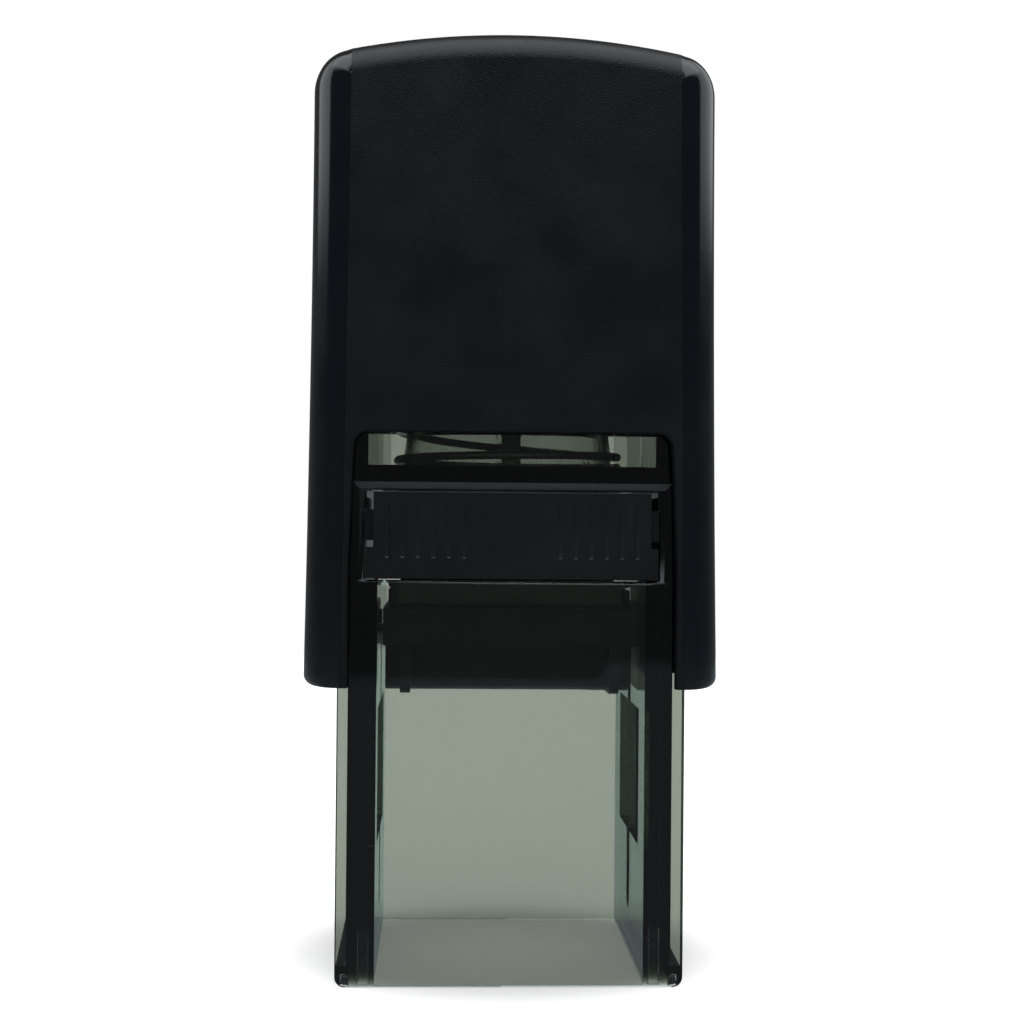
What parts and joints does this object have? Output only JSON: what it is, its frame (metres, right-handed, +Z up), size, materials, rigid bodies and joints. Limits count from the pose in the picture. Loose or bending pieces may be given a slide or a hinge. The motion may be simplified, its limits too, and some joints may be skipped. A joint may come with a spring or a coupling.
{
  "type": "self inking stamp",
  "caption": "Square self inking stamp: pressing the sprung cap flips the die carriage from the slide-in ink pad down through the clear base onto the paper.",
  "frame": {"origin": "middle of the foot's underside, on the surface that the stamp stands on", "axes": "+Z up along the cap's stroke, -Y towards the front where the ink pad slides out, +X to the right seen from the front"},
  "size_m": [0.0364, 0.033, 0.0833],
  "materials": {
    "smoked_clear_plastic": "polished smoked clear styrene",
    "black_cap_plastic": "black ABS, fine spark-eroded texture with polished side rails",
    "black_inner_plastic": "black moulded plastic, satin",
    "spring_steel": "drawn spring wire, dark",
    "axle_steel": "ground steel rod",
    "adhesive_foam": "dark closed-cell adhesive foam",
    "die_rubber": "laser cut rubber, ink stained",
    "inked_felt": "felt soaked with black ink"
  },
  "bodies": {
    "base": {"base_frame": "smoked_clear_plastic", "return_spring": "spring_steel"},
    "cap": {"cap_shell": "black_cap_plastic", "yoke": "black_inner_plastic", "carriage_axle": "axle_steel"},
    "carriage": {"die_carriage": "black_inner_plastic", "die_cushion": "adhesive_foam", "rubber_die": "die_rubber"},
    "pad": {"pad_tray": "black_inner_plastic", "ink_pad": "inked_felt"}
  },
  "joints": [
    {"name": "cap_press", "type": "slide", "parent": "base", "child": "cap", "axis": [0, 0, -1], "range_m": [0, 0.0245], "stiffness_N_per_m": 400, "springref_m": -0.01, "deforming": ["return_spring"]},
    {"name": "carriage_flip", "type": "hinge", "parent": "cap", "child": "carriage", "pos_m": [0, 0, 0.02985], "axis": [1, 0, 0], "range_deg": [0, 180]},
    {"name": "pad_slide", "type": "slide", "parent": "base", "child": "pad", "axis": [0, 1, 0], "range_m": [-0.0316, 0]}
  ],
  "couplings": [
    {"joint": "carriage_flip", "follows": "cap_press", "rad_per_m": 128.22}
  ]
}
